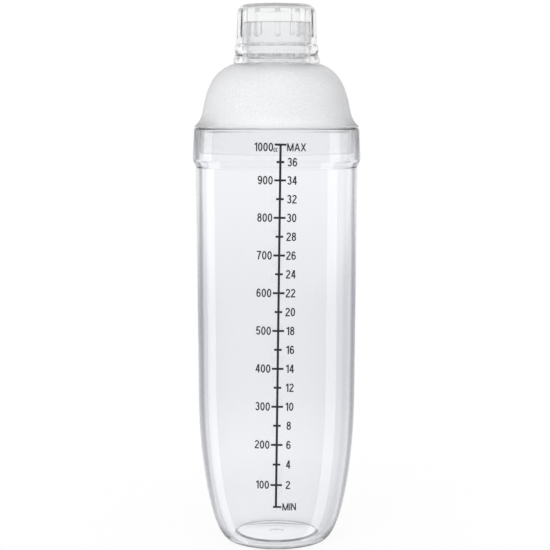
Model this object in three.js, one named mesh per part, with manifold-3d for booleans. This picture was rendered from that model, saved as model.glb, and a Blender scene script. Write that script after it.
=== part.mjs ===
// Boba shaker cup: a clear collared cup, a frosted strainer lid that plugs into the cup's
// mouth, and a clear fluted cap that pushes onto the lid's neck.
// Millimetres, +Z up. The origin is the centre of the foot, on the surface the cup stands on.
// The front, which carries the measuring scale, faces -Y.

import * as THREE from 'three';
import { mergeVertices } from 'three/addons/utils/BufferGeometryUtils.js';
import Module from 'manifold-3d';

// Cup
const CUP_HEIGHT = 226;
const FOOT_RADIUS = 25.2; // outer edge of the flat ring that touches the table
const FOOT_RING_WIDTH = 1.3;
const FOOT_RECESS = 1.2; // hollow under the floor, inside the ring
const BELLY_RADIUS = 42.7; // outside, where the rounded base runs into the straight wall
const BELLY_HEIGHT = 86;
const WALL_FLARE = 0.9; // radius gained from the belly to the collar, the moulding draft
const WALL_THICKNESS = 3;
const FLOOR_HEIGHT = 3.2; // groove round the floor's raised middle, above the table
const FLOOR_INSET = 1.2; // from the foot's outer edge in to the groove
const FLOOR_RISE = 1.2; // middle of the floor above the groove
const FLOOR_SLOPE = 2.8; // run of the slopes above and under the floor, in to its middle
const COLLAR_HEIGHT = 21.1;
const COLLAR_STEP = 1.7; // how far the collar stands out from the wall
const COLLAR_SLOPE = 4.2; // height of the slope from the wall out to the collar
const COLLAR_TAPER = 0.7; // radius lost from that slope up to the rim
const MOUTH_STEP = 1.5; // how far the bore widens inside the collar
const EDGE_BEVEL = 0.5; // broken edge on the collar, rim, plug and neck

// Strainer lid
const SEAT_GAP = 0.3; // between the lid's flange and the rim, and the cap's lip and the ledge
const PLUG_DEPTH = 13.6; // how far the plug reaches down into the mouth
const PLUG_CLEARANCE = 0.35; // between the plug's foot and the cup's inner wall
const PLUG_THICKNESS = 2.2;
const FLANGE_SETBACK = 0.2; // from the rim's outer edge in to the flange's
const FLANGE_EDGE = 0.5; // height of the flange's upright edge
const COVE_REACH = 4.3; // the hollow sweep from the flange in to the dome
const COVE_HEIGHT = 7;
const COVE_CORNER_RISE = 2.6; // the point the sweep bends round, above the flange's edge
const COVE_CORNER_OUT = 1.1; // and out from the dome's side
const DOME_HEIGHT = 33.6; // flange's underside to the ledge that the cap sits on
const DOME_THICKNESS = 2.5;
const DOME_SIDE_RISE = 11.7; // pull of the leaning side on the dome's curve
const DOME_SIDE_LEAN = 2.4;
const CROWN_RUN = 11.4; // pull of the crown on the dome's curve
const CROWN_FALL = 4.5;
const LEDGE_WIDTH = 5.7;
const NECK_RADIUS = 18.6;
const NECK_THICKNESS = 2.2;
const NECK_HEIGHT = 22.4; // ledge to the pouring edge

// Strainer plate, moulded across the foot of the neck
const STRAINER_LIFT = 3; // ledge to the plate's underside
const STRAINER_THICKNESS = 2.1;
const HOLE_DIAMETER = 4;
const HOLE_PITCH = 6.4; // between the rings of holes; ring k has 6k holes
const HOLES_PER_RING_STEP = 6;
const HOLE_MARGIN = 1.2; // least web between the outer holes and the neck's bore

// Cap
const CAP_CLEARANCE = 0.3; // between the neck and the cap's bore
const CAP_THICKNESS = 2.85; // wall above the hem
const CAP_TAPER = 0.7; // radius lost from the hem to the top round
const CAP_HEADROOM = 7.5; // pouring edge to the ceiling
const CAP_TOP_THICKNESS = 2.5; // at the centre
const CROWN_RISE = 0.35; // centre of the top above its edge
const TOP_ROUND = 5;
const CEILING_ROUND = 1.6;
const LIP_REACH = 1.5; // the flared lip beyond the wall
const LIP_HEIGHT = 2.2;
const LIP_BEVEL = 0.7; // under the lip's outer edge
const WAIST_REACH = 0.25; // the waist between lip and hem, beyond the wall
const WAIST_HEIGHT = 5.3; // above the cap's foot
const HEM_REACH = 0.75; // the hem band beyond the wall
const HEM_FOOT = 6.8; // above the cap's foot
const HEM_HEIGHT = 3.3;
const CAP_LEAD = 0.6; // broken inner edge at the cap's foot
const FLUTE_COUNT = 12;
const FLUTE_WIDTH = 3.3;
const FLUTE_DEPTH = 0.6;
const FLUTE_FOOT = 3.8; // above the hem
const CAP_TURN = THREE.MathUtils.degToRad(1.3); // how far the cap happens to be turned

// Facets
const TURN_STEPS = 60;
const CURVE_STEPS = 4;
const HOLE_SIDES = 12;
const FLUTE_SIDES = 20;
const FLUTE_CAP_STEPS = 4;
const CUT_OVERRUN = 1; // how far a cutting tool runs past the faces that it cuts

// Heights and radii that follow from the sizes above
const collarFoot = CUP_HEIGHT - COLLAR_HEIGHT;
const slopeTop = collarFoot + COLLAR_SLOPE;
const collarRadius = BELLY_RADIUS + WALL_FLARE + COLLAR_STEP;
const rimRadius = collarRadius - COLLAR_TAPER;
const floorRadius = FOOT_RADIUS - FLOOR_INSET;

const seat = CUP_HEIGHT + SEAT_GAP;
const plugFoot = seat - PLUG_DEPTH;
const plugRadius = boreRadius(plugFoot) - PLUG_CLEARANCE;
const plugBore = plugRadius - PLUG_THICKNESS;
const flangeRadius = rimRadius - FLANGE_SETBACK;
const coveFoot = seat + FLANGE_EDGE;
const coveTop = coveFoot + COVE_HEIGHT;
const domeRadius = flangeRadius - COVE_REACH;
const ledge = seat + DOME_HEIGHT;
const ledgeRadius = NECK_RADIUS + LEDGE_WIDTH;
const neckBore = NECK_RADIUS - NECK_THICKNESS;
const neckTop = ledge + NECK_HEIGHT;
const strainerFoot = ledge + STRAINER_LIFT;
const strainerTop = strainerFoot + STRAINER_THICKNESS;

const capFoot = ledge + SEAT_GAP;
const capBore = NECK_RADIUS + CAP_CLEARANCE;
const capWallRadius = capBore + CAP_THICKNESS;
const capTopRadius = capWallRadius - CAP_TAPER;
const ceiling = neckTop + CAP_HEADROOM;
const capTop = ceiling + CAP_TOP_THICKNESS;
const hemTop = capFoot + HEM_FOOT + HEM_HEIGHT;

// Inner radius of the cup at height z, in its straight wall and its wider mouth
function boreRadius(z) {
  const flare = (WALL_FLARE * (z - BELLY_HEIGHT)) / (collarFoot - BELLY_HEIGHT);
  const intoCollar = THREE.MathUtils.clamp((z - collarFoot) / COLLAR_SLOPE, 0, 1);
  return BELLY_RADIUS - WALL_THICKNESS + flare + MOUTH_STEP * intoCollar;
}

// Half-section of the cup: under the floor, up the outside, over the rim and down the inside
function cupOutline() {
  const bellyInside = boreRadius(BELLY_HEIGHT);
  const mouthRadius = boreRadius(CUP_HEIGHT);
  const ringInside = FOOT_RADIUS - FOOT_RING_WIDTH;
  const underBend = ringInside - FLOOR_SLOPE / 2;
  const floorBend = floorRadius - FLOOR_SLOPE / 2;
  const floorTop = FLOOR_HEIGHT + FLOOR_RISE;
  const outline = new THREE.Path();
  outline.moveTo(0, FOOT_RECESS);
  outline.lineTo(ringInside - FLOOR_SLOPE, FOOT_RECESS);
  outline.bezierCurveTo(underBend, FOOT_RECESS, underBend, 0, ringInside, 0);
  outline.lineTo(FOOT_RADIUS, 0);
  outline.absellipse(FOOT_RADIUS, BELLY_HEIGHT, BELLY_RADIUS - FOOT_RADIUS, BELLY_HEIGHT, -Math.PI / 2, 0);
  outline.lineTo(BELLY_RADIUS + WALL_FLARE, collarFoot);
  outline.lineTo(collarRadius, slopeTop);
  outline.lineTo(rimRadius, CUP_HEIGHT - EDGE_BEVEL);
  outline.lineTo(rimRadius - EDGE_BEVEL, CUP_HEIGHT);
  outline.lineTo(mouthRadius + EDGE_BEVEL, CUP_HEIGHT);
  outline.lineTo(mouthRadius, CUP_HEIGHT - EDGE_BEVEL);
  outline.lineTo(boreRadius(slopeTop), slopeTop);
  outline.lineTo(boreRadius(collarFoot), collarFoot);
  outline.lineTo(bellyInside, BELLY_HEIGHT);
  outline.absellipse(
    floorRadius, BELLY_HEIGHT, bellyInside - floorRadius, BELLY_HEIGHT - FLOOR_HEIGHT, 0, -Math.PI / 2, true,
  );
  outline.bezierCurveTo(floorBend, FLOOR_HEIGHT, floorBend, floorTop, floorRadius - FLOOR_SLOPE, floorTop);
  outline.lineTo(0, floorTop);
  return outline.getPoints(CURVE_STEPS);
}

// Outside of the dome, from the top of the cove to the ledge under the cap
function domeCurve() {
  return new THREE.CubicBezierCurve(
    new THREE.Vector2(domeRadius, coveTop),
    new THREE.Vector2(domeRadius - DOME_SIDE_LEAN, coveTop + DOME_SIDE_RISE),
    new THREE.Vector2(ledgeRadius + CROWN_RUN, ledge - CROWN_FALL),
    new THREE.Vector2(ledgeRadius, ledge),
  );
}

// Inside of the dome, one wall thickness square in from its outside, from the neck down to the cove
function domeInside(curve, steps) {
  const points = [];
  for (let step = steps; step >= 0; step -= 1) {
    const along = curve.getTangent(step / steps);
    const inward = new THREE.Vector2(-along.y, along.x);
    points.push(curve.getPoint(step / steps).addScaledVector(inward, DOME_THICKNESS));
  }
  return points;
}

// Half-section of the lid: under the strainer, down the inside, round the plug, up over the
// flange and dome, round the neck and back across the top of the strainer
function lidOutline() {
  const dome = domeCurve();
  const inside = domeInside(dome, 2 * CURVE_STEPS);
  const outline = new THREE.Path();
  outline.moveTo(0, strainerFoot);
  outline.lineTo(neckBore, strainerFoot);
  outline.lineTo(neckBore, inside[0].y);
  inside.forEach((point) => outline.lineTo(point.x, point.y));
  outline.lineTo(plugBore, seat);
  outline.lineTo(plugBore, plugFoot);
  outline.lineTo(plugRadius - EDGE_BEVEL, plugFoot);
  outline.lineTo(plugRadius, plugFoot + EDGE_BEVEL);
  outline.lineTo(plugRadius, seat);
  outline.lineTo(flangeRadius, seat);
  outline.lineTo(flangeRadius, coveFoot);
  outline.quadraticCurveTo(domeRadius + COVE_CORNER_OUT, coveFoot + COVE_CORNER_RISE, domeRadius, coveTop);
  dome.getPoints(2 * CURVE_STEPS).forEach((point) => outline.lineTo(point.x, point.y));
  outline.lineTo(NECK_RADIUS, ledge);
  outline.lineTo(NECK_RADIUS, neckTop - EDGE_BEVEL);
  outline.lineTo(NECK_RADIUS - EDGE_BEVEL, neckTop);
  outline.lineTo(neckBore + EDGE_BEVEL, neckTop);
  outline.lineTo(neckBore, neckTop - EDGE_BEVEL);
  outline.lineTo(neckBore, strainerTop);
  outline.lineTo(0, strainerTop);
  return outline.getPoints(CURVE_STEPS);
}

// Half-section of the cap: under the ceiling, down the bore, round the lip, up the hem and
// wall, and over the crowned top
function capOutline() {
  const hemRadius = capWallRadius + HEM_REACH;
  const lipRadius = capWallRadius + LIP_REACH;
  const crownEdge = capTop - CROWN_RISE;
  const topEdge = capTopRadius - TOP_ROUND;
  const outline = new THREE.Path();
  outline.moveTo(0, ceiling);
  outline.lineTo(capBore - CEILING_ROUND, ceiling);
  outline.quadraticCurveTo(capBore, ceiling, capBore, ceiling - CEILING_ROUND);
  outline.lineTo(capBore, capFoot + CAP_LEAD);
  outline.lineTo(capBore + CAP_LEAD, capFoot);
  outline.lineTo(lipRadius - LIP_BEVEL, capFoot);
  outline.lineTo(lipRadius, capFoot + LIP_BEVEL);
  outline.lineTo(lipRadius, capFoot + LIP_HEIGHT);
  outline.lineTo(capWallRadius + WAIST_REACH, capFoot + WAIST_HEIGHT);
  outline.lineTo(hemRadius, capFoot + HEM_FOOT);
  outline.lineTo(hemRadius, hemTop - HEM_REACH);
  outline.lineTo(capWallRadius, hemTop);
  outline.lineTo(capTopRadius, crownEdge - TOP_ROUND);
  outline.absellipse(topEdge, crownEdge - TOP_ROUND, TOP_ROUND, TOP_ROUND, 0, Math.PI / 2);
  outline.quadraticCurveTo(topEdge / 2, capTop, 0, capTop);
  return outline.getPoints(CURVE_STEPS);
}

// A closed geometry with shared corners only; slivers that lie on the axis are dropped
function weld(geometry) {
  geometry.deleteAttribute('normal');
  geometry.deleteAttribute('uv');
  const welded = mergeVertices(geometry);
  const corners = Array.from(welded.index.array);
  const kept = [];
  for (let i = 0; i < corners.length; i += 3) {
    const triangle = corners.slice(i, i + 3);
    if (new Set(triangle).size === 3) {
      kept.push(...triangle);
    }
  }
  welded.setIndex(kept);
  return welded;
}

// A half-section turned once round the Z axis
function turned(outline) {
  return weld(new THREE.LatheGeometry(outline, TURN_STEPS).rotateX(Math.PI / 2));
}

const wasm = await Module();
wasm.setup();

function toSolid(geometry) {
  const vertProperties = Float32Array.from(geometry.attributes.position.array);
  const triVerts = Uint32Array.from(geometry.index.array);
  return new wasm.Manifold(new wasm.Mesh({ numProp: 3, vertProperties, triVerts }));
}

function toGeometry(solid) {
  const { vertProperties, triVerts } = solid.getMesh();
  const geometry = new THREE.BufferGeometry();
  geometry.setAttribute('position', new THREE.BufferAttribute(vertProperties, 3));
  geometry.setIndex(new THREE.BufferAttribute(triVerts, 1));
  return geometry;
}

function cutAway(geometry, tools) {
  const cut = tools.reduce((solid, tool) => solid.subtract(toSolid(tool)), toSolid(geometry));
  return toGeometry(cut);
}

// Pins in the places of the strainer's holes: one in the middle, then rings out to the bore
function strainerPins() {
  const height = STRAINER_THICKNESS + 2 * CUT_OVERRUN;
  const outermost = neckBore - HOLE_MARGIN - HOLE_DIAMETER / 2;
  const rings = Math.floor(outermost / HOLE_PITCH);
  const pins = [];
  for (let ring = 0; ring <= rings; ring += 1) {
    const count = Math.max(1, ring * HOLES_PER_RING_STEP);
    for (let hole = 0; hole < count; hole += 1) {
      const turn = (hole / count) * 2 * Math.PI;
      const pin = new THREE.CylinderGeometry(HOLE_DIAMETER / 2, HOLE_DIAMETER / 2, height, HOLE_SIDES);
      pin.rotateX(Math.PI / 2);
      pin.translate(ring * HOLE_PITCH, 0, strainerFoot + STRAINER_THICKNESS / 2);
      pin.rotateZ(turn);
      pins.push(weld(pin));
    }
  }
  return pins;
}

// Round-nosed bars that lie along the cap's tapered wall and sink the flutes into it
function fluteBars() {
  const radius = (FLUTE_WIDTH ** 2 / 4 + FLUTE_DEPTH ** 2) / (2 * FLUTE_DEPTH);
  const noseCentre = hemTop + FLUTE_FOOT + FLUTE_WIDTH / 2;
  const wallTop = capTop - CROWN_RISE - TOP_ROUND;
  const draft = Math.atan(CAP_TAPER / (wallTop - hemTop));
  const wallAtNose = capWallRadius - (noseCentre - hemTop) * Math.tan(draft);
  const length = capTop + CUT_OVERRUN - noseCentre;
  const bars = [];
  for (let flute = 0; flute < FLUTE_COUNT; flute += 1) {
    const bar = new THREE.CapsuleGeometry(radius, length, FLUTE_CAP_STEPS, FLUTE_SIDES);
    bar.rotateX(Math.PI / 2);
    bar.translate(0, 0, length / 2);
    bar.rotateY(-draft);
    bar.translate(wallAtNose + radius - FLUTE_DEPTH, 0, noseCentre);
    bar.rotateZ(CAP_TURN + (flute / FLUTE_COUNT) * 2 * Math.PI);
    bars.push(weld(bar));
  }
  return bars;
}

function clearPlastic() {
  return new THREE.MeshStandardMaterial({
    color: 0xe6e9ee, roughness: 0.08, metalness: 0, transparent: true, opacity: 0.35,
  });
}

function frostedPlastic() {
  return new THREE.MeshStandardMaterial({
    color: 0xf2f3f6, roughness: 0.55, metalness: 0, transparent: true, opacity: 0.75,
  });
}

function namedMesh(name, geometry, material) {
  geometry.computeVertexNormals();
  const mesh = new THREE.Mesh(geometry, material);
  mesh.name = name;
  return mesh;
}

const shaker = new THREE.Group();
shaker.add(namedMesh('cup', turned(cupOutline()), clearPlastic()));
shaker.add(namedMesh('strainer_lid', cutAway(turned(lidOutline()), strainerPins()), frostedPlastic()));
shaker.add(namedMesh('cap', cutAway(turned(capOutline()), fluteBars()), clearPlastic()));

export default shaker;
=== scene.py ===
# Boba shaker cup: the finished look of the cup, the strainer lid, the cap and the printed scale.
# The frame is in metres, +Z up, and the scale is on the front, at -Y.
# The pieces' sizes are in millimetres, and become metres where a mesh is made.

import math

import bmesh
import bpy
from mathutils import Matrix, Vector
from mathutils.geometry import delaunay_2d_cdt


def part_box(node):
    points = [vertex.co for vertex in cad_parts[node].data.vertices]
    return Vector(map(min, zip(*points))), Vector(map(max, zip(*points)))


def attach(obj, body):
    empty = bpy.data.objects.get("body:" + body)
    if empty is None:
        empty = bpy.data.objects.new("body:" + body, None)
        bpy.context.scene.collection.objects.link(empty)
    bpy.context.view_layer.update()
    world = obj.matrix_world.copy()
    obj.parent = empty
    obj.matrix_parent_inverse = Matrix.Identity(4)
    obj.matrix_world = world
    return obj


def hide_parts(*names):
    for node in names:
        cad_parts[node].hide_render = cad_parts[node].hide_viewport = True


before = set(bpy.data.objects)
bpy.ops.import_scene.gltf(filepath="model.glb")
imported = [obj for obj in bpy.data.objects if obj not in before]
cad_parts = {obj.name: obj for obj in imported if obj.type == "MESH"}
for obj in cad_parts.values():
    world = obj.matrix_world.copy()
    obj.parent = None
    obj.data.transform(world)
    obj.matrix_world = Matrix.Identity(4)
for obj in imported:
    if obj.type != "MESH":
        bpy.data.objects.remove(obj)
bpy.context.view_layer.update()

MM = 0.001


def reach(node):
    """A node's outer radius, lowest and highest point, in millimetres."""
    low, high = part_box(node)
    return high[0] / MM, low[2] / MM, high[2] / MM


# Cup
COLLAR_RADIUS, _, CUP_HEIGHT = reach("cup")
FOOT_RADIUS = 25.2
FOOT_RING_WIDTH = 1.3
FOOT_RECESS = 1.2  # hollow under the floor, inside the ring
BELLY_RADIUS = 42.7  # where the rounded base runs into the straight wall
BELLY_HEIGHT = 86
WALL_FLARE = 0.9  # radius gained from the belly to the collar
WALL_THICKNESS = 3
FLOOR_HEIGHT = 3.2  # in the groove round the raised middle
FLOOR_INSET = 1.2  # from the foot's outer edge in to the groove
FLOOR_RISE = 1.2  # middle of the floor above the groove
FLOOR_SLOPE = 2.8  # run of the slopes above and under the floor, in to its middle
MOUTH_STEP = 1.5  # the bore steps out with the collar
COLLAR_HEIGHT = 21.1
COLLAR_TAPER = 0.7  # radius lost from the foot of the collar up to the rim
COLLAR_SLOPE = 4.2  # height of the step from the wall out to the collar
SLOPE_EASE = 0.08  # share of the step that each soft end takes
RIM_ROUND = 1.2
RIM_FLAT = 0.3  # from the end of the rim's outer round to the middle of its flat top
MOUTH_ROUND = 0.5
GATE_RADIUS = 3.4  # the moulding's gate mark, in the middle of the recess
GATE_DEPTH = 0.3
SCUFF_TOP = 40  # height up to which the outside is scuffed

# Strainer lid
FLANGE_RADIUS, PLUG_FOOT, NECK_TOP = reach("strainer_lid")
SEAT_GAP = 0.3  # between the flange and the rim
PLUG_CLEARANCE = 0.35
PLUG_THICKNESS = 2.2
PLUG_ROUND = 0.4
FLANGE_EDGE = 0.5  # height of the flange's upright edge
FLANGE_ROUND = 0.45
COVE_REACH = 4.3  # the hollow sweep from the flange in to the dome
COVE_HEIGHT = 7
COVE_CORNER_RISE = 2.6  # the point the sweep bends round, above the flange's edge
COVE_CORNER_OUT = 1.1  # and out from the dome's side
DOME_HEIGHT = 33.6
DOME_THICKNESS = 2.5
DOME_SIDE_RISE = 11.7  # pull of the leaning side on the dome's curve
DOME_SIDE_LEAN = 2.4
CROWN_RUN = 11.4  # pull of the crown on the dome's curve
CROWN_FALL = 4.5
LEDGE_WIDTH = 5.7
LEDGE_ROUND = 0.5
NECK_RADIUS = 18.6
NECK_THICKNESS = 2.2
NECK_ROUND = 1.05
STRAINER_LIFT = 3  # ledge to the plate's underside
STRAINER_THICKNESS = 2.1
STRAINER_FILLET = 0.5
HOLE_DIAMETER = 4
HOLE_PITCH = 6.4
HOLES_PER_RING_STEP = 6
HOLE_RINGS = 2
HOLE_ROUND = 0.3

# Cap
LIP_RADIUS, CAP_FOOT, CAP_TOP = reach("cap")
CAP_CLEARANCE = 0.3
CAP_THICKNESS = 2.85
CAP_TAPER = 0.7  # radius lost from the hem to the top round
CAP_TOP_THICKNESS = 2.5
CROWN_RISE = 0.35  # centre of the top above its edge
TOP_ROUND = 5
CEILING_ROUND = 1.6
LIP_HEIGHT = 2.2
LIP_ROUND = 0.7
WAIST_REACH = 0.25  # waist and hem stand out from the wall, and their heights are above the foot
WAIST_HEIGHT = 5.3
HEM_REACH = 0.75
HEM_FOOT = 6.8
HEM_HEIGHT = 3.3
HEM_ROUND = 0.4
CAP_LEAD = 0.6  # broken inner edge at the cap's foot
FLUTE_COUNT = 12
FLUTE_WIDTH = 3.3
FLUTE_DEPTH = 0.6
FLUTE_FOOT = 3.8  # above the hem
FLUTE_EDGE = 0.05  # softness of the flutes' edges
CAP_TURN = 1.3  # degrees

# Printed scale
PRINT_GAP = 0.02  # ink's underside off the wall, which clears the facets
PRINT_THICKNESS = 0.03
MARK_STEP = 50  # cubic centimetres from one mark to the next, and at the lowest
FULL_MARK = 1000
UNDER_SCALE = 20.5  # cubic centimetres that the cup holds below the scale's zero
RIGHT_STEP = 2  # from one number on the right to the next
LINE_WIDTH = 1.2
MARK_WIDTH = 1.1
LONG_MARK = 6.1
SHORT_MARK = 4.0
LOWEST_MARK_LEFT = 1.6
LOWEST_MARK_RIGHT = 2.9
DIGIT_HEIGHT = 4.5
WORD_HEIGHT = 4.1
UNIT_HEIGHT = 2.0
LEFT_EDGE = -3.8  # right end of the numbers on the left of the line
RIGHT_MIDDLE = 6.2  # middle of the numbers on the right
WORD_START = 3.4  # left end of the two words
TOP_WORD_DROP = 1.3  # the word and number at the top mark hang below it
UNIT_START = -3.6
UNIT_DROP = 2.7
SCALE_LEAN = 0.72  # degrees that the print is out of upright
SCALE_UPRIGHT_AT = 58  # height at which the line crosses the front of the cup

# Lettering, in shares of a sign's height
STROKE = 0.15
UNIT_STROKE = 0.24
DIGIT_WIDTH = 0.53
SIGN_GAP = 0.085

# Facets
TURN_STEPS = 256
CAP_STEPS = 480
CURVE_STEPS = 48
ROUND_STEPS = 6
COLLAR_STEPS = 20
HOLE_STEPS = 36
LETTER_STEPS = 16
PRINT_GRID = 1.0  # between the upright lines along which the ink can bend
FILL_STEP = 0.05  # height by which the cup is filled to find its marks
FLAT_ANGLE = 0.1  # degrees, below which faces of the flat print become one
SHARP_ANGLE = 40  # degrees
TINY = 1e-6
INSIDE_ONLY = 1  # makes delaunay_2d_cdt leave out triangles outside the outlines

# Finishes, by their place among a piece's materials
CLEAR = 0
SCUFFED, POLISHED = 1, 2  # on the cup
FROSTED = 1  # on the lid
HAZY = 1  # on the cap

# Heights and radii that follow
wall_top_radius = BELLY_RADIUS + WALL_FLARE
collar_foot = CUP_HEIGHT - COLLAR_HEIGHT
rim_radius = COLLAR_RADIUS - COLLAR_TAPER
rim_middle = rim_radius - RIM_ROUND - RIM_FLAT
belly_inside = BELLY_RADIUS - WALL_THICKNESS
floor_radius = FOOT_RADIUS - FLOOR_INSET
neck_bore = NECK_RADIUS - NECK_THICKNESS
seat = CUP_HEIGHT + SEAT_GAP
cove_foot = seat + FLANGE_EDGE
cove_top = cove_foot + COVE_HEIGHT
dome_radius = FLANGE_RADIUS - COVE_REACH
ledge = seat + DOME_HEIGHT
ledge_radius = NECK_RADIUS + LEDGE_WIDTH
strainer_foot = ledge + STRAINER_LIFT
strainer_top = strainer_foot + STRAINER_THICKNESS
cap_bore = NECK_RADIUS + CAP_CLEARANCE
cap_wall_radius = cap_bore + CAP_THICKNESS
cap_top_radius = cap_wall_radius - CAP_TAPER
hem_top = CAP_FOOT + HEM_FOOT + HEM_HEIGHT
cap_wall_top = CAP_TOP - CROWN_RISE - TOP_ROUND
ceiling = CAP_TOP - CAP_TOP_THICKNESS


def into_collar(z):
    """0 on the wall, 1 on the collar, and a step with soft ends between them."""
    share = min(max((z - collar_foot) / COLLAR_SLOPE, 0), 1)
    from_end = min(share, 1 - share)
    if from_end > SLOPE_EASE:
        eased = from_end - SLOPE_EASE / 2
    else:
        eased = from_end ** 2 / (2 * SLOPE_EASE)
    eased /= 1 - SLOPE_EASE
    return eased if share < 0.5 else 1 - eased


def inside_radius(z):
    """Inner radius of the cup at height z above its floor."""
    if z >= BELLY_HEIGHT:
        flared = belly_inside + WALL_FLARE * (z - BELLY_HEIGHT) / (collar_foot - BELLY_HEIGHT)
        return flared + MOUTH_STEP * into_collar(z)
    share = (BELLY_HEIGHT - z) / (BELLY_HEIGHT - FLOOR_HEIGHT)
    return floor_radius + (belly_inside - floor_radius) * math.sqrt(max(0, 1 - share * share))


# Half-sections, as lists of (radius, height)

def ellipse(centre, radii, start, end, steps):
    """Points on an ellipse from start to end, in degrees, both ends included."""
    turns = [math.radians(start + (end - start) * step / steps) for step in range(steps + 1)]
    return [(centre[0] + radii[0] * math.cos(t), centre[1] + radii[1] * math.sin(t)) for t in turns]


def bezier(controls, steps):
    """Points on a Bezier curve of any degree, both ends included."""
    points = []
    for step in range(steps + 1):
        t = step / steps
        level = [Vector(control) for control in controls]
        while len(level) > 1:
            level = [a.lerp(b, t) for a, b in zip(level, level[1:])]
        points.append(tuple(level[0]))
    return points


def straight(start, end, steps):
    """Points along a line, both ends included."""
    return [tuple(Vector(start).lerp(Vector(end), step / steps)) for step in range(steps + 1)]


def rounded(corners):
    """A polyline of (radius, height, round), each corner softened by a curve that long."""
    points = []
    for index, (r, z, size) in enumerate(corners):
        corner = Vector((r, z))
        if not size:
            points.append((r, z))
            continue
        before = Vector(corners[index - 1][:2])
        after = Vector(corners[index + 1][:2])
        start = corner + (before - corner).normalized() * size
        end = corner + (after - corner).normalized() * size
        points += bezier([start, corner, end], ROUND_STEPS)
    return points


def step_heights():
    """Heights up the step from the wall to the collar."""
    return [collar_foot + COLLAR_SLOPE * step / COLLAR_STEPS for step in range(COLLAR_STEPS + 1)]


def cup_outside():
    """The cup's outside, from the foot's edge up to the rim's outer edge."""
    belly_reach = BELLY_RADIUS - FOOT_RADIUS
    belly = ellipse((FOOT_RADIUS, BELLY_HEIGHT), (belly_reach, BELLY_HEIGHT), -90, 0, CURVE_STEPS)
    wall = straight((BELLY_RADIUS, BELLY_HEIGHT), (wall_top_radius, collar_foot), CURVE_STEPS)
    collar_step = COLLAR_RADIUS - wall_top_radius
    step = [(wall_top_radius + collar_step * into_collar(z), z) for z in step_heights()]
    collar = rounded([
        (COLLAR_RADIUS, collar_foot + COLLAR_SLOPE, 0),
        (rim_radius, CUP_HEIGHT, RIM_ROUND),
        (rim_middle, CUP_HEIGHT, 0),
    ])
    return belly[1:] + wall[1:-1] + step + collar[1:-1]


def floor_slope(outer, foot, top):
    """A smooth slope from the outer radius in to the raised middle of the floor."""
    middle, inner = outer - FLOOR_SLOPE / 2, outer - FLOOR_SLOPE
    return bezier([(outer, foot), (middle, foot), (middle, top), (inner, top)], ROUND_STEPS * 2)


def cup_stretches():
    """Under the foot, up the outside, over the rim and down the inside: (points, finish)."""
    gate = rounded([
        (0, FOOT_RECESS + GATE_DEPTH, 0),
        (GATE_RADIUS, FOOT_RECESS + GATE_DEPTH, GATE_DEPTH),
        (GATE_RADIUS + GATE_DEPTH, FOOT_RECESS, GATE_DEPTH / 2),
        (GATE_RADIUS + 2 * GATE_DEPTH, FOOT_RECESS, 0),
    ])
    recess_edge = floor_slope(FOOT_RADIUS - FOOT_RING_WIDTH, 0, FOOT_RECESS)
    under = gate + recess_edge[::-1] + [(FOOT_RADIUS, 0)]
    mouth = inside_radius(CUP_HEIGHT)
    rim = rounded([
        (rim_middle, CUP_HEIGHT, 0),
        (mouth, CUP_HEIGHT, MOUTH_ROUND),
        (mouth, CUP_HEIGHT - 2 * MOUTH_ROUND, 0),
    ])
    step = [(inside_radius(z), z) for z in step_heights()[::-1]]
    wall = straight(step[-1], (belly_inside, BELLY_HEIGHT), CURVE_STEPS)
    basin_radii = (belly_inside - floor_radius, BELLY_HEIGHT - FLOOR_HEIGHT)
    basin = ellipse((floor_radius, BELLY_HEIGHT), basin_radii, 0, -90, CURVE_STEPS)
    rise = floor_slope(floor_radius, FLOOR_HEIGHT, FLOOR_HEIGHT + FLOOR_RISE)
    floor = straight(rise[-1], (0, FLOOR_HEIGHT + FLOOR_RISE), ROUND_STEPS)
    inside = rim + step + wall[1:] + basin[1:]
    outside = [under[-1]] + cup_outside()
    low = next(index for index, (_, z) in enumerate(outside) if z > SCUFF_TOP)
    return [
        (under, POLISHED),
        (outside[:low + 1], SCUFFED),
        (outside[low:] + inside, CLEAR),
        (rise + floor[1:], POLISHED),
    ]


def dome_outside():
    """The dome's outside, from the top of the cove to the ledge under the cap."""
    return bezier([
        (dome_radius, cove_top),
        (dome_radius - DOME_SIDE_LEAN, cove_top + DOME_SIDE_RISE),
        (ledge_radius + CROWN_RUN, ledge - CROWN_FALL),
        (ledge_radius, ledge),
    ], CURVE_STEPS)


def set_in(points, distance):
    """A curve set in from one that goes up the outside, and running the other way."""
    moved = []
    for index, point in enumerate(points):
        before = Vector(points[max(index - 1, 0)])
        after = Vector(points[min(index + 1, len(points) - 1)])
        along = (after - before).normalized()
        moved.append((point[0] - along.y * distance, point[1] + along.x * distance))
    return moved[::-1]


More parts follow.
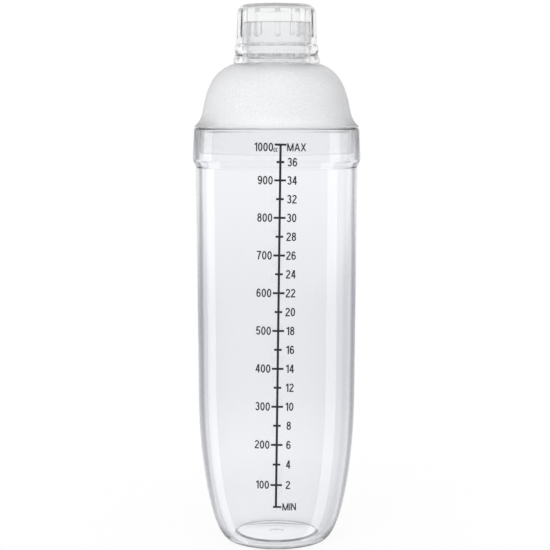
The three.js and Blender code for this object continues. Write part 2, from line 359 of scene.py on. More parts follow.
def lid_stretches():
    """Down the inside, round the plug, up the dome and over the neck: (points, finish)."""
    dome = dome_outside()
    hollow = set_in(dome, DOME_THICKNESS)
    plug_radius = inside_radius(PLUG_FOOT) - PLUG_CLEARANCE
    plug_bore = plug_radius - PLUG_THICKNESS
    throat = rounded([
        (neck_bore - 2 * STRAINER_FILLET, strainer_foot, 0),
        (neck_bore, strainer_foot, STRAINER_FILLET),
        (neck_bore, hollow[0][1], STRAINER_FILLET),
        (hollow[1][0], hollow[1][1], 0),
    ])
    plug = rounded([
        (plug_bore, seat, 0),
        (plug_bore, PLUG_FOOT, PLUG_ROUND),
        (plug_radius, PLUG_FOOT, PLUG_ROUND),
        (plug_radius, seat, FLANGE_ROUND),
        (FLANGE_RADIUS, seat, FLANGE_ROUND),
        (FLANGE_RADIUS, cove_foot, 0),
    ])
    cove = bezier([
        (FLANGE_RADIUS, cove_foot),
        (dome_radius + COVE_CORNER_OUT, cove_foot + COVE_CORNER_RISE),
        (dome_radius, cove_top),
    ], CURVE_STEPS)
    neck = rounded([
        (ledge_radius, ledge, 0),
        (NECK_RADIUS, ledge, LEDGE_ROUND),
        (NECK_RADIUS, NECK_TOP, NECK_ROUND),
        (neck_bore, NECK_TOP, NECK_ROUND),
        (neck_bore, strainer_top, STRAINER_FILLET),
        (neck_bore - 2 * STRAINER_FILLET, strainer_top, 0),
    ])
    return [(throat + hollow[2:] + plug, CLEAR), (cove + dome[1:], FROSTED), (neck, CLEAR)]


def cap_stretches():
    """Under the ceiling, down the bore, round the lip, up the wall and over: (points, finish)."""
    hem_radius = cap_wall_radius + HEM_REACH
    crown_edge = CAP_TOP - CROWN_RISE
    top_edge = cap_top_radius - TOP_ROUND
    nose_top = hem_top + FLUTE_FOOT + FLUTE_WIDTH
    nose_radius = cap_wall_radius - CAP_TAPER * (nose_top - hem_top) / (cap_wall_top - hem_top)
    skirt = rounded([
        (0, ceiling, 0),
        (cap_bore, ceiling, CEILING_ROUND),
        (cap_bore, CAP_FOOT + CAP_LEAD, CAP_LEAD / 2),
        (cap_bore + CAP_LEAD, CAP_FOOT, CAP_LEAD / 3),
        (LIP_RADIUS, CAP_FOOT, LIP_ROUND),
        (LIP_RADIUS, CAP_FOOT + LIP_HEIGHT, LIP_ROUND / 2),
        (cap_wall_radius + WAIST_REACH, CAP_FOOT + WAIST_HEIGHT, HEM_ROUND),
        (hem_radius, CAP_FOOT + HEM_FOOT, HEM_ROUND),
        (hem_radius, hem_top - HEM_REACH, HEM_ROUND),
        (cap_wall_radius, hem_top, HEM_ROUND),
        (nose_radius, nose_top, 0),
    ])
    fluted = straight(skirt[-2], (nose_radius, nose_top), CURVE_STEPS)
    wall = straight((nose_radius, nose_top), (cap_top_radius, cap_wall_top), ROUND_STEPS)
    top_round = ellipse((top_edge, cap_wall_top), (TOP_ROUND, TOP_ROUND), 0, 90, CURVE_STEPS // 2)
    crown = bezier([(top_edge, crown_edge), (top_edge / 2, CAP_TOP), (0, CAP_TOP)], ROUND_STEPS)
    ceiling_edge = ROUND_STEPS  # the last point of its round that is hazy
    outside = fluted[1:] + wall[1:] + top_round[1:] + crown[1:]
    return [(skirt[:ceiling_edge + 1], HAZY), (skirt[ceiling_edge:-1] + outside, CLEAR)]


# Meshes

def turn(mesh, points, steps, finish=CLEAR, first_turn=0.0):
    """Turns a half-section about Z into a bmesh, and returns its first and last rings."""
    angles = [first_turn + 2 * math.pi * step / steps for step in range(steps)]
    rings = []
    for r, z in points:
        if r < TINY:
            rings.append([mesh.verts.new((0, 0, z * MM))] * steps)
            continue
        places = [(r * MM * math.cos(a), r * MM * math.sin(a), z * MM) for a in angles]
        rings.append([mesh.verts.new(place) for place in places])
    for lower, upper in zip(rings, rings[1:]):
        for step in range(steps):
            following = (step + 1) % steps
            corners = [lower[step], lower[following], upper[following], upper[step]]
            face = mesh.faces.new(list(dict.fromkeys(corners)))
            face.material_index = finish
    return rings[0], rings[-1]


def ring_edges(mesh, ring):
    """The edges round a ring of vertices."""
    pairs = zip(ring, ring[1:] + ring[:1])
    return [mesh.edges.get(pair) or mesh.edges.new(pair) for pair in pairs]


def finish_mesh(mesh, name, materials):
    """A smooth-shaded object from a bmesh, with its materials."""
    bmesh.ops.remove_doubles(mesh, verts=mesh.verts, dist=TINY)
    bmesh.ops.recalc_face_normals(mesh, faces=mesh.faces)
    data = bpy.data.meshes.new(name)
    mesh.to_mesh(data)
    mesh.free()
    for material in materials:
        data.materials.append(material)
    data.shade_smooth()
    data.set_sharp_from_angle(angle=math.radians(SHARP_ANGLE))
    piece = bpy.data.objects.new(name, data)
    bpy.context.scene.collection.objects.link(piece)
    return piece


def make_cup(clear, scuffed, polished):
    mesh = bmesh.new()
    for points, finish in cup_stretches():
        turn(mesh, points, TURN_STEPS, finish)
    return finish_mesh(mesh, "cup_shell", [clear, scuffed, polished])


def hole_places():
    """Middles of the strainer's holes: one in the centre, then rings of six more each time."""
    places = []
    for ring in range(HOLE_RINGS + 1):
        off = ring * HOLE_PITCH
        count = max(1, ring * HOLES_PER_RING_STEP)
        for hole in range(count):
            angle = 2 * math.pi * hole / count
            places.append((off * math.cos(angle), off * math.sin(angle)))
    return places


def add_hole(mesh, place):
    """The wall of one strainer hole, and its rings on the plate's underside and top."""
    radius = HOLE_DIAMETER / 2
    wall = rounded([
        (radius + 2 * HOLE_ROUND, strainer_top, 0),
        (radius, strainer_top, HOLE_ROUND),
        (radius, strainer_foot, HOLE_ROUND),
        (radius + 2 * HOLE_ROUND, strainer_foot, 0),
    ])[1:-1]
    top, foot = turn(mesh, wall, HOLE_STEPS)
    fresh = mesh.verts[-len(wall) * HOLE_STEPS:]
    bmesh.ops.translate(mesh, verts=fresh, vec=(place[0] * MM, place[1] * MM, 0))
    return foot, top


def make_lid(clear, frosted):
    mesh = bmesh.new()
    rings = [turn(mesh, points, TURN_STEPS, finish) for points, finish in lid_stretches()]
    foot_edges = ring_edges(mesh, rings[0][0])
    top_edges = ring_edges(mesh, rings[-1][1])
    for place in hole_places():
        mesh.verts.ensure_lookup_table()
        foot, top = add_hole(mesh, place)
        foot_edges += ring_edges(mesh, foot)
        top_edges += ring_edges(mesh, top)
    for edges in (foot_edges, top_edges):
        bmesh.ops.triangle_fill(mesh, edges=edges, use_beauty=True)
    return finish_mesh(mesh, "strainer_lid_shell", [clear, frosted])


def flute_depth(across, along):
    """How deep a flute is, across from its middle and along from its round end's centre."""
    radius = (FLUTE_WIDTH ** 2 / 4 + FLUTE_DEPTH ** 2) / (2 * FLUTE_DEPTH)
    off = math.hypot(across, min(along, 0))
    arc = math.sqrt(max(radius ** 2 - off ** 2, 0)) - (radius - FLUTE_DEPTH)
    return (arc + math.sqrt(arc ** 2 + FLUTE_EDGE ** 2)) / 2


def sink_flutes(mesh):
    """Presses the flutes into the cap's wall, running out through the round of its top."""
    pitch = 2 * math.pi / FLUTE_COUNT
    nose = hem_top + FLUTE_FOOT + FLUTE_WIDTH / 2
    for vertex in mesh.verts:
        r = math.hypot(vertex.co.x, vertex.co.y) / MM
        z = vertex.co.z / MM
        if z < hem_top + HEM_ROUND or r < cap_top_radius - TOP_ROUND:
            continue
        if r < cap_bore + TINY / MM and z < ceiling:
            continue
        turned = math.atan2(vertex.co.y, vertex.co.x) - math.radians(CAP_TURN)
        across = r * (turned - pitch * round(turned / pitch))
        wall = cap_wall_radius - CAP_TAPER * (z - hem_top) / (cap_wall_top - hem_top)
        sunk = min(r, wall - flute_depth(across, z - nose))
        vertex.co.x *= sunk / r
        vertex.co.y *= sunk / r


def make_cap(clear, hazy):
    mesh = bmesh.new()
    for points, finish in cap_stretches():
        turn(mesh, points, CAP_STEPS, finish, math.radians(CAP_TURN))
    sink_flutes(mesh)
    return finish_mesh(mesh, "cap_shell", [clear, hazy])


# Printed scale

def ribbon(points, width=STROKE):
    """The outline of a stroke along a curve."""
    left, right = [], []
    for index, (x, y) in enumerate(points):
        before = Vector(points[max(index - 1, 0)])
        after = Vector(points[min(index + 1, len(points) - 1)])
        along = (after - before).normalized() * width / 2
        left.append((x - along.y, y + along.x))
        right.append((x + along.y, y - along.x))
    return right + left[::-1]


def bar(start, end):
    """The outline of a straight stroke, its ends cut level, or upright where it runs level."""
    rise = end[1] - start[1]
    length = math.dist(start, end)
    x, y = (length / rise * STROKE / 2, 0) if rise else (0, -STROKE / 2)
    return [
        (start[0] - x, start[1] - y),
        (start[0] + x, start[1] + y),
        (end[0] + x, end[1] + y),
        (end[0] - x, end[1] - y),
    ]


def bow(foot, top, start, end, inset=0.0):
    """Part of the oval between two heights of a digit, from start to end in degrees."""
    middle = (DIGIT_WIDTH / 2, (foot + top) / 2)
    radii = ((DIGIT_WIDTH - STROKE) / 2 - inset, (top - foot - STROKE) / 2)
    return ellipse(middle, radii, start, end, LETTER_STEPS)


def oval(foot, top, inset=0.0):
    """A closed round of a digit, in two halves."""
    return [ribbon(bow(foot, top, 0, 180, inset)), ribbon(bow(foot, top, 180, 360, inset))]


def draw_signs():
    """The outlines of each sign, one unit tall, from its left edge."""
    edge = STROKE / 2
    right = DIGIT_WIDTH - edge
    head = 1 - edge
    six = oval(0, 0.64) + [ribbon(bow(0, 1, 35, 180) + [(edge, 0.32)])]
    return {
        "0": oval(0, 1),
        "1": [bar((0.36, 0), (0.36, 1)), ribbon([(0.12, 0.75), (0.36, 0.92)])],
        "2": [
            ribbon(bow(0.44, 1, 170, -25) + [(edge, STROKE)]),
            bar((0, edge), (DIGIT_WIDTH, edge)),
        ],
        "3": [ribbon(bow(0.47, 1, 160, -90, 0.02)), ribbon(bow(0, 0.6, 90, -160))],
        "4": [
            bar((0.37, 0), (0.37, 1)),
            bar((0.06, 0.25), (0.34, 1)),
            bar((0, 0.29), (DIGIT_WIDTH, 0.29)),
        ],
        "5": [
            bar((0.1, head), (DIGIT_WIDTH - 0.03, head)),
            bar((0.08, 0.45), (0.15, 1)),
            ribbon(bow(0, 0.65, 140, -160)),
        ],
        "6": six,
        "7": [
            bar((0, head), (DIGIT_WIDTH, head)),
            ribbon(bezier([(right, head), (0.25, 0.6), (0.2, 0)], LETTER_STEPS)),
        ],
        "8": oval(0.47, 1, 0.025) + oval(0, 0.6),
        "9": [[(DIGIT_WIDTH - x, 1 - y) for x, y in outline] for outline in six],
        "A": [
            bar((edge, 0), (0.38, 1)),
            bar((0.76 - edge, 0), (0.38, 1)),
            bar((0.16, 0.32), (0.6, 0.32)),
        ],
        "I": [bar((edge, 0), (edge, 1))],
        "M": [
            bar((edge, 0), (edge, 1)),
            bar((edge, 1), (0.41, 0)),
            bar((0.41, 0), (0.82 - edge, 1)),
            bar((0.82 - edge, 0), (0.82 - edge, 1)),
        ],
        "N": [
            bar((edge, 0), (edge, 1)),
            bar((edge, 1), (0.66 - edge, 0)),
            bar((0.66 - edge, 0), (0.66 - edge, 1)),
        ],
        "X": [bar((edge, 0), (0.7 - edge, 1)), bar((edge, 1), (0.7 - edge, 0))],
        "c": [ribbon(bow(0, 1, 50, 310), UNIT_STROKE)],
    }


def word(signs, text, height, place, align):
    """Outlines of a word, with its middle height and one edge or its middle at place."""
    outlines = []
    start = 0.0
    for sign in text:
        outlines += [[(start + x, y) for x, y in outline] for outline in signs[sign]]
        start = max(x for outline in outlines for x, _ in outline) + SIGN_GAP
    anchor = {"LEFT": 0, "MIDDLE": (start - SIGN_GAP) / 2, "RIGHT": start - SIGN_GAP}[align]
    return [
        [(place[0] + (x - anchor) * height, place[1] + (y - 0.5) * height) for x, y in outline]
        for outline in outlines
    ]


def mark_heights(volumes):
    """Heights at which the cup holds each of the volumes, smallest first."""
    heights = []
    taken_by_floor = math.pi * (floor_radius - FLOOR_SLOPE / 2) ** 2 * FLOOR_RISE * MM
    held = -taken_by_floor
    z = FLOOR_HEIGHT
    while len(heights) < len(volumes):
        held += math.pi * inside_radius(z + FILL_STEP / 2) ** 2 * FILL_STEP * MM
        z += FILL_STEP
        if held >= volumes[len(heights)] + UNDER_SCALE:
            heights.append(z)
    return heights


def box(left, right, foot, top):
    return [(left, foot), (right, foot), (right, top), (left, top)]


def scale_outlines():
    """Everything printed, laid flat: x across the front and y up from the table."""
    signs = draw_signs()
    volumes = list(range(MARK_STEP, FULL_MARK + 1, MARK_STEP))
    heights = mark_heights(volumes)
    foot, top = heights[0], heights[-1]
    outlines = [box(-LINE_WIDTH / 2, LINE_WIDTH / 2, foot - MARK_WIDTH / 2, top + MARK_WIDTH / 2)]
    for volume, z in zip(volumes, heights):
        left = right = SHORT_MARK / 2
        if volume == MARK_STEP:
            left, right = LOWEST_MARK_LEFT, LOWEST_MARK_RIGHT
        elif volume % (2 * MARK_STEP) == 0:
            left = right = LONG_MARK / 2
            drop = TOP_WORD_DROP if volume == FULL_MARK else 0
            outlines += word(signs, str(volume), DIGIT_HEIGHT, (LEFT_EDGE, z - drop), "RIGHT")
        outlines.append(box(-left, right, z - MARK_WIDTH / 2, z + MARK_WIDTH / 2))
        if MARK_STEP < volume < FULL_MARK:
            number = RIGHT_STEP * (volume // MARK_STEP - 1)
            outlines += word(signs, str(number), DIGIT_HEIGHT, (RIGHT_MIDDLE, z), "MIDDLE")
    outlines += word(signs, "MIN", WORD_HEIGHT, (WORD_START, foot), "LEFT")
    outlines += word(signs, "MAX", WORD_HEIGHT, (WORD_START, top - TOP_WORD_DROP), "LEFT")
    outlines += word(signs, "cc", UNIT_HEIGHT, (UNIT_START, top - UNIT_DROP), "LEFT")
    return outlines


def flat_scale():
    """The print as one flat sheet, with outlines that overlap joined."""
    points = []
    rings = []
    for outline in scale_outlines():
        rings.append(list(range(len(points), len(points) + len(outline))))
        points += [Vector(point) for point in outline]
    places, _, triangles, _, _, sources = delaunay_2d_cdt(points, [], rings, INSIDE_ONLY, TINY)
    mesh = bmesh.new()
    corners = [mesh.verts.new((x, y, 0)) for x, y in places]
    for triangle, source in zip(triangles, sources):
        if source:
            mesh.faces.new([corners[corner] for corner in triangle])
    loose = [corner for corner in corners if not corner.link_faces]
    bmesh.ops.delete(mesh, geom=loose, context="VERTS")
    flat = math.radians(FLAT_ANGLE)
    bmesh.ops.dissolve_limit(mesh, angle_limit=flat, verts=mesh.verts, edges=mesh.edges)
    lean = Matrix.Rotation(-math.radians(SCALE_LEAN), 4, "Z")
    bmesh.ops.rotate(mesh, verts=mesh.verts, cent=(0, SCALE_UPRIGHT_AT, 0), matrix=lean)
    return mesh


def slice_print(mesh, levels, normal):
    """Cuts flat ink along lines, so that it can bend there."""
    for level in levels:
        everything = mesh.verts[:] + mesh.edges[:] + mesh.faces[:]
        place = Vector(normal) * level
        bmesh.ops.bisect_plane(mesh, geom=everything, plane_co=place, plane_no=normal)


def wall_at(outside, z):
    """The cup's outer radius at a height, off its outline, and the way out of the wall there."""
    for (r0, z0), (r1, z1) in zip(outside, outside[1:]):
        if z0 <= z <= z1 and z1 > z0:
            return r0 + (r1 - r0) * (z - z0) / (z1 - z0), Vector((z1 - z0, r0 - r1)).normalized()
    raise ValueError("no wall at this height")


def make_scale(ink):
    """The print, bent round the cup's wall and given its thickness."""
    mesh = flat_scale()
    outside = cup_outside()
    slice_print(mesh, sorted({z for _, z in outside}), (0, 1, 0))
    widest = max(abs(vertex.co.x) for vertex in mesh.verts)
    columns = int(widest / PRINT_GRID) + 1
    slice_print(mesh, [PRINT_GRID * column for column in range(-columns, columns + 1)], (1, 0, 0))
    sheet = bmesh.ops.extrude_face_region(mesh, geom=mesh.faces[:])
    raised = {item for item in sheet["geom"] if isinstance(item, bmesh.types.BMVert)}
    for vertex in mesh.verts:
        lift = PRINT_GAP + (PRINT_THICKNESS if vertex in raised else 0)
        across, z = vertex.co.x, vertex.co.y
        r, out = wall_at(outside, z)
        angle = across / r
        r += lift * out.x
        vertex.co = Vector((r * math.sin(angle), -r * math.cos(angle), z + lift * out.y)) * MM
    return finish_mesh(mesh, "scale_print", [ink])


# Materials. Clarity is the share of light let through, and roughness goes from polished to hazy
CUP_TINT = (0.945, 0.953, 0.97, 1)
CUP_IOR = 1.57
CUP_CLARITY = 1
CUP_ROUGH = (0.015, 0.05)
SCUFF_CLARITY = 0.8  # at the foot
POLISHED_ROUGH = (0, 0.01)
CAP_TINT = (0.985, 0.987, 0.99, 1)
CAP_IOR = 1.49
CAP_CLARITY = 0.96
CAP_ROUGH = (0.02, 0.08)
HAZE_CLARITY = 0.65
HAZE_ROUGH = (0.12, 0.22)
LID_TINT = (0.985, 0.987, 0.99, 1)
LID_IOR = 1.49
LID_CLARITY = 1
SATIN_ROUGH = (0.03, 0.09)
FROST_SHADE_AND_LIGHT_TINTS = ((0.87, 0.875, 0.890, 1), (0.985, 0.987, 0.995, 1))  # painted shade in the grain's dips and painted light on its tips
FROST_SHADE_AND_LIGHT_ENDS = (0.35, 0.65)  # of the grain's noise
FROST_CLARITY = 0.65
COVE_CLARITY = 0.8  # at the foot of the cove, where the frost is thin
FROST_ROUGH = (0.4, 0.5)
INK_TINTS = ((0.01, 0.01, 0.011, 1), (0.03, 0.03, 0.032, 1))
INK_ROUGH = (0.4, 0.6)
INK_GLOSS = 0.15

# Noises: features per metre, and levels of detail
HAZE_NOISE = (140, 6)
FLOW_NOISE = (45, 2)
PATCH_NOISE = (60, 4)
GRAIN_NOISE = (950, 3)
COVER_NOISE = (900, 4)
NOISE_LOW, NOISE_HIGH = 0.3, 0.7  # most of a noise lies between these
EVEN = (1, 1, 1)
DRAWN_OUT = (1, 1, 0.35)  # makes a noise longer along Z

# Bumps: strength, and depth in metres
FLOW_BUMP = (0.25, 0.0002)
POLISHED_BUMP = (0.03, 0.0002)
GRAIN_BUMP = (0.8, 0.0003)
COVER_BUMP = (0.2, 0.00002)


def new_material(name):
    """A material, its node tree and its shader."""
    material = bpy.data.materials.new(name)
    material.use_nodes = True
    tree = material.node_tree
    return material, tree, tree.nodes["Principled BSDF"]


def split_place(tree, space):
    """A point's X, Y and Z in one of the coordinate spaces."""
    place = tree.nodes.new("ShaderNodeTexCoord")
    split = tree.nodes.new("ShaderNodeSeparateXYZ")
    tree.links.new(place.outputs[space], split.inputs["Vector"])
    return split.outputs


def noise(tree, scale, detail, stretch=EVEN):
    """Noise in the object's own metres."""
    place = tree.nodes.new("ShaderNodeTexCoord")
    mapping = tree.nodes.new("ShaderNodeMapping")
    mapping.inputs["Scale"].default_value = stretch
    texture = tree.nodes.new("ShaderNodeTexNoise")
    texture.inputs["Scale"].default_value = scale
    texture.inputs["Detail"].default_value = detail
    tree.links.new(place.outputs["Object"], mapping.inputs["Vector"])
    tree.links.new(mapping.outputs["Vector"], texture.inputs["Vector"])
    return texture.outputs["Fac"]


def ranged(tree, value, low, high, start=NOISE_LOW, end=NOISE_HIGH):
    """A value brought from start..end to low..high."""
    node = tree.nodes.new("ShaderNodeMapRange")
    node.inputs["From Min"].default_value = start
    node.inputs["From Max"].default_value = end
    node.inputs["To Min"].default_value = low
    node.inputs["To Max"].default_value = high
    tree.links.new(value, node.inputs["Value"])
    return node.outputs["Result"]


def two_tints(tree, value, tints, ends=(0, 1)):
    """A colour from the first tint to the second, as a value goes from end to end."""
    ramp = tree.nodes.new("ShaderNodeValToRGB")
    for element, end, tint in zip(ramp.color_ramp.elements, ends, tints):
        element.position = end
        element.color = tint
    tree.links.new(value, ramp.inputs["Fac"])
    return ramp.outputs["Color"]


def bump(tree, height, strength, depth):
    """A normal that follows the slopes of a height."""
    node = tree.nodes.new("ShaderNodeBump")
    node.inputs["Strength"].default_value = strength
    node.inputs["Distance"].default_value = depth
    tree.links.new(height, node.inputs["Height"])
    return node.outputs["Normal"]


def see_through(name, tint, ior, clarity):
    """Moulding plastic that lets light through, with a faint cool tint."""
    material, tree, shader = new_material(name)
    shader.inputs["Base Color"].default_value = tint
    shader.inputs["IOR"].default_value = ior
    shader.inputs["Transmission Weight"].default_value = clarity
    return material, tree, shader


def clear_plastic(name, tint, ior, clarity, rough, waves=FLOW_BUMP, stretch=DRAWN_OUT):
    """Polished plastic: the faint waves of the moulding, and fine handling haze."""
    material, tree, shader = see_through(name, tint, ior, clarity)
    haze = noise(tree, *HAZE_NOISE)
    tree.links.new(ranged(tree, haze, *rough), shader.inputs["Roughness"])
    flow = noise(tree, *FLOW_NOISE, stretch)
    tree.links.new(bump(tree, flow, *waves), shader.inputs["Normal"])
    return material


def scuffed_plastic():
    """The cup's plastic low on the outside, hazier towards the foot it is set down on."""
    material = clear_plastic("scuffed_plastic", CUP_TINT, CUP_IOR, CUP_CLARITY, CUP_ROUGH)
    tree = material.node_tree
    height = split_place(tree, "Object")["Z"]
    clarity = ranged(tree, height, SCUFF_CLARITY, CUP_CLARITY, 0, SCUFF_TOP * MM)
    tree.links.new(clarity, tree.nodes["Principled BSDF"].inputs["Transmission Weight"])
    return material


def frosted_plastic():
    """The dome's spark-eroded frost: a fine even grain that thins down the cove, with shade painted
    into the grain's dips and light painted onto its tips.
    """
    material, tree, shader = see_through("frosted_plastic", FROST_SHADE_AND_LIGHT_TINTS[0], LID_IOR, FROST_CLARITY)
    patches = noise(tree, *PATCH_NOISE)
    tree.links.new(ranged(tree, patches, *FROST_ROUGH), shader.inputs["Roughness"])
    height = split_place(tree, "Object")["Z"]
    clarity = ranged(tree, height, COVE_CLARITY, FROST_CLARITY, cove_foot * MM, cove_top * MM)
    tree.links.new(clarity, shader.inputs["Transmission Weight"])
    grain = noise(tree, *GRAIN_NOISE)
    # painted shade and light: the colour follows the grain's bump noise, darker in its dips and
    # lighter on its tips
    tint = two_tints(tree, grain, FROST_SHADE_AND_LIGHT_TINTS, FROST_SHADE_AND_LIGHT_ENDS)
    tree.links.new(tint, shader.inputs["Base Color"])
    tree.links.new(bump(tree, grain, *GRAIN_BUMP), shader.inputs["Normal"])
    return material


def scale_ink():
    """Screen-printed black, a little thin in places."""
    material, tree, shader = new_material("scale_ink")
    shader.inputs["Specular IOR Level"].default_value = INK_GLOSS
    cover = noise(tree, *COVER_NOISE)
    tree.links.new(two_tints(tree, cover, INK_TINTS), shader.inputs["Base Color"])
    tree.links.new(ranged(tree, cover, *INK_ROUGH), shader.inputs["Roughness"])
    tree.links.new(bump(tree, cover, *COVER_BUMP), shader.inputs["Normal"])
    return material


# Studio, in metres, degrees and watts
CAMERA_SIDE = -0.00087
CAMERA_DISTANCE = 0.9212
CAMERA_HEIGHT = 0.2452
CAMERA_PITCH = 6.144
CAMERA_LENS = 111.27  # millimetres, as the sensor
SENSOR_WIDTH = 36
FLOOR_SIZE = 0.32  # radius
FLOOR_SIDES = 128
FLOOR_DROP = 0.0003  # below the cup's foot
FLOOR_COLOUR = (0.9, 0.9, 0.9, 1)
FLOOR_ROUGH = 0.9
FLOOR_WHITE = 0.92  # share of plain white by the cup, which makes its shadow faint
FLOOR_FADE = (1 / 3, 0.95)  # shares of the radius between which that grows to all white
WHITE_STRENGTH = 1
AIM = (0, 0, 0.15)  # middle of the shaker, which the softboxes face
SOFTBOXES = (  # name, place, width and height, power, and whether plastic mirrors it
    ("left_softbox", (-0.951, 0.309, -0.175), (0.38, 2.05), 3.6, True),
    ("right_softbox", (0.996, -0.087, -0.175), (0.36, 2.05), 3.4, True),
    ("front_softbox", (-0.42, -0.92, 0.12), (0.6, 0.6), 7.0, False),
    ("top_softbox", (0, -0.3, 1.1), (0.6, 0.6), 4.5, False),
)

# Shade in the white surround. Angles are from straight behind, and a rise is a direction's Z
SURROUND_LEVEL = 0.7  # as a light, where it isn't seen
SURROUND_TINTS = ((1, 1, 1, 1), (0, 0.02, 0.08, 1))  # with no shade and in full shade
GAP_TURN = 2  # both gaps are turned left by this
GAP_RAMP = (22, 31, 36, 43)  # angles at which a gap starts, is full, thins and ends
GAP_WIDER = 22  # how much sooner it starts low down
GAP_LOW = (-0.05, -0.13)  # rises over which it starts sooner
GAP_NARROWER = 10  # how much sooner it ends in steep directions
GAP_STEEP = (-0.3, -0.42)  # rises over which it ends sooner
GAP_HEIGHTS = (0.04, -0.02, -0.45, -0.75)  # rises at which a gap starts, is full, thins and ends
GAP_DEPTH = 0.5
HORIZON = (-0.03, -0.13, -0.16, -0.24)  # rises of a faint band all round, in the same order
HORIZON_DEPTH = 0.1
TABLE = (-0.28, -0.5)  # rises over which the table's faint shade grows
TABLE_DEPTH = 0.2


def make_camera():
    lens = bpy.data.cameras.new("camera")
    lens.sensor_width = SENSOR_WIDTH
    lens.lens = CAMERA_LENS
    camera = bpy.data.objects.new("camera", lens)
    camera.location = (CAMERA_SIDE, -CAMERA_DISTANCE, CAMERA_HEIGHT)
    camera.rotation_euler = (math.radians(90 - CAMERA_PITCH), 0, 0)
    bpy.context.scene.collection.objects.link(camera)
    bpy.context.scene.camera = camera


def feed(tree, socket, value):
    """Sets a socket to a number, or links it to another node's output."""
    if isinstance(value, (int, float)):
        socket.default_value = value
    else:
        tree.links.new(value, socket)


def maths(tree, operation, *values):
    """One sum of sockets and numbers."""
    node = tree.nodes.new("ShaderNodeMath")
    node.operation = operation
    for socket, value in zip(node.inputs, values):
        feed(tree, socket, value)
    return node.outputs["Value"]


def product(tree, first, *others):
    for other in others:
        first = maths(tree, "MULTIPLY", first, other)
    return first


def smooth_ramp(tree, value, start, end):
    """0 at start, rising smoothly to 1 at end."""
    node = tree.nodes.new("ShaderNodeMapRange")
    node.interpolation_type = "SMOOTHSTEP"
    feed(tree, node.inputs["From Min"], start)
    feed(tree, node.inputs["From Max"], end)
    tree.links.new(value, node.inputs["Value"])
    return node.outputs["Result"]


def band(tree, value, start, full, thin, end):
    """0 at start, 1 from full to thin, and 0 again at end."""
    into = smooth_ramp(tree, value, start, full)
    out_of = smooth_ramp(tree, value, end, thin)
    return product(tree, into, out_of)


def seen_directly(tree):
    """1 for the camera's rays, and 1 for those that show the background in gloss and glass too."""
    path = tree.nodes.new("ShaderNodeLightPath")
    camera_ray = path.outputs["Is Camera Ray"]
    camera_or_gloss = maths(tree, "MAXIMUM", camera_ray, path.outputs["Is Glossy Ray"])
    seen = maths(tree, "MAXIMUM", camera_or_gloss, path.outputs["Is Transmission Ray"])
    return camera_ray, seen


def side_gaps(tree, direction):
    """1 in the gap on each side behind, and 0 out of them."""
    azimuth = maths(tree, "ARCTAN2", direction["X"], direction["Y"])
    degrees = maths(tree, "MULTIPLY", azimuth, math.degrees(1))
    aside = maths(tree, "ABSOLUTE", maths(tree, "ADD", degrees, GAP_TURN))
    starts, full, thins, ends = GAP_RAMP
    low = smooth_ramp(tree, direction["Z"], *GAP_LOW)
    start = maths(tree, "ADD", product(tree, low, -GAP_WIDER), starts)
    into = smooth_ramp(tree, aside, start, full)
    steep = smooth_ramp(tree, direction["Z"], *GAP_STEEP)
    further = maths(tree, "ADD", aside, product(tree, steep, GAP_NARROWER))
    out_of = smooth_ramp(tree, further, ends, thins)
    return product(tree, into, out_of, band(tree, direction["Z"], *GAP_HEIGHTS))


def make_world():
    """White all round, with shade that only plastic shows, to draw the edges of clear walls."""
    world = bpy.data.worlds.new("studio")
    bpy.context.scene.world = world
    world.use_nodes = True
    tree = world.node_tree
    background = tree.nodes["Background"]
    camera_ray, seen = seen_directly(tree)
    direction = split_place(tree, "Generated")
    gaps = product(tree, side_gaps(tree, direction), GAP_DEPTH)
    horizon = product(tree, band(tree, direction["Z"], *HORIZON), HORIZON_DEPTH)
    table = product(tree, smooth_ramp(tree, direction["Z"], *TABLE), TABLE_DEPTH)
    shade = maths(tree, "ADD", gaps, maths(tree, "ADD", horizon, table))
    by_plastic = maths(tree, "SUBTRACT", seen, camera_ray)
    colour = two_tints(tree, product(tree, shade, by_plastic), SURROUND_TINTS)
    tree.links.new(colour, background.inputs["Color"])
    strength = ranged(tree, seen, SURROUND_LEVEL, WHITE_STRENGTH, 0, 1)
    tree.links.new(strength, background.inputs["Strength"])


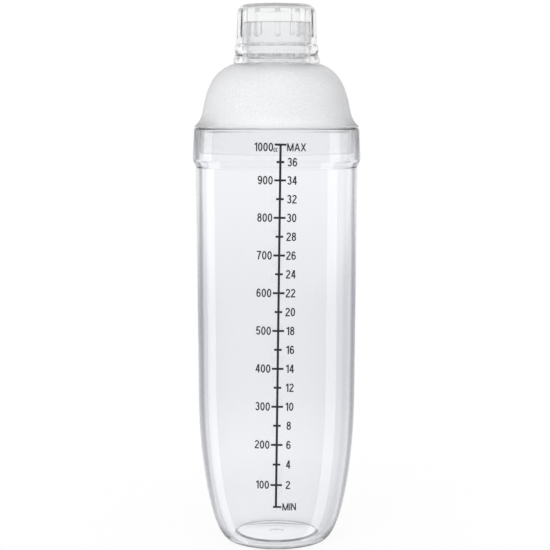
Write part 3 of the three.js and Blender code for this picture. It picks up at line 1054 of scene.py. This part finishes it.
def make_floor():
    """A pale floor that shows white, and keeps a faint shadow near the cup."""
    mesh = bmesh.new()
    bmesh.ops.create_circle(mesh, cap_ends=True, segments=FLOOR_SIDES, radius=FLOOR_SIZE)
    data = bpy.data.meshes.new("floor")
    mesh.to_mesh(data)
    mesh.free()
    floor = bpy.data.objects.new("floor", data)
    floor.location.z = -FLOOR_DROP
    floor.visible_transmission = False
    floor.visible_glossy = False
    bpy.context.scene.collection.objects.link(floor)
    material, tree, shader = new_material("floor")
    shader.inputs["Base Color"].default_value = FLOOR_COLOUR
    shader.inputs["Roughness"].default_value = FLOOR_ROUGH
    white = tree.nodes.new("ShaderNodeEmission")
    white.inputs["Strength"].default_value = WHITE_STRENGTH
    place = tree.nodes.new("ShaderNodeTexCoord")
    length = tree.nodes.new("ShaderNodeVectorMath")
    length.operation = "LENGTH"
    tree.links.new(place.outputs["Object"], length.inputs[0])
    near, far = [FLOOR_SIZE * share for share in FLOOR_FADE]
    share = ranged(tree, length.outputs["Value"], FLOOR_WHITE, 1, near, far)
    _, seen = seen_directly(tree)
    mix = tree.nodes.new("ShaderNodeMixShader")
    tree.links.new(product(tree, share, seen), mix.inputs[0])
    tree.links.new(shader.outputs[0], mix.inputs[1])
    tree.links.new(white.outputs[0], mix.inputs[2])
    tree.links.new(mix.outputs[0], tree.nodes["Material Output"].inputs["Surface"])
    data.materials.append(material)


def soft_lamp(name, place, size, power, mirrored):
    """A rectangular softbox that faces the middle of the shaker."""
    lamp = bpy.data.lights.new(name, "AREA")
    lamp.shape = "RECTANGLE"
    lamp.size, lamp.size_y = size
    lamp.energy = power
    stand = bpy.data.objects.new(name, lamp)
    stand.location = place
    stand.rotation_euler = (Vector(AIM) - Vector(place)).to_track_quat("-Z", "Y").to_euler()
    stand.visible_camera = False
    stand.visible_transmission = False
    stand.visible_glossy = mirrored
    bpy.context.scene.collection.objects.link(stand)


make_camera()
make_world()
make_floor()
for softbox in SOFTBOXES:
    soft_lamp(*softbox)
bpy.context.scene.view_settings.view_transform = "Standard"

cup_plastic = clear_plastic("cup_plastic", CUP_TINT, CUP_IOR, CUP_CLARITY, CUP_ROUGH)
scuffed = scuffed_plastic()
polished = clear_plastic(
    "polished_plastic", CUP_TINT, CUP_IOR, CUP_CLARITY, POLISHED_ROUGH, POLISHED_BUMP
)
satin = clear_plastic("satin_plastic", LID_TINT, LID_IOR, LID_CLARITY, SATIN_ROUGH, stretch=EVEN)
frosted = frosted_plastic()
cap_plastic = clear_plastic("cap_plastic", CAP_TINT, CAP_IOR, CAP_CLARITY, CAP_ROUGH)
hazy = clear_plastic("cap_haze", CAP_TINT, CAP_IOR, HAZE_CLARITY, HAZE_ROUGH)
ink = scale_ink()

cup = make_cup(cup_plastic, scuffed, polished)
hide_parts("cup")
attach(cup, "cup")

scale = make_scale(ink)
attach(scale, "cup")

lid = make_lid(satin, frosted)
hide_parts("strainer_lid")
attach(lid, "strainer_lid")

cap = make_cap(cap_plastic, hazy)
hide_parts("cap")
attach(cap, "cap")
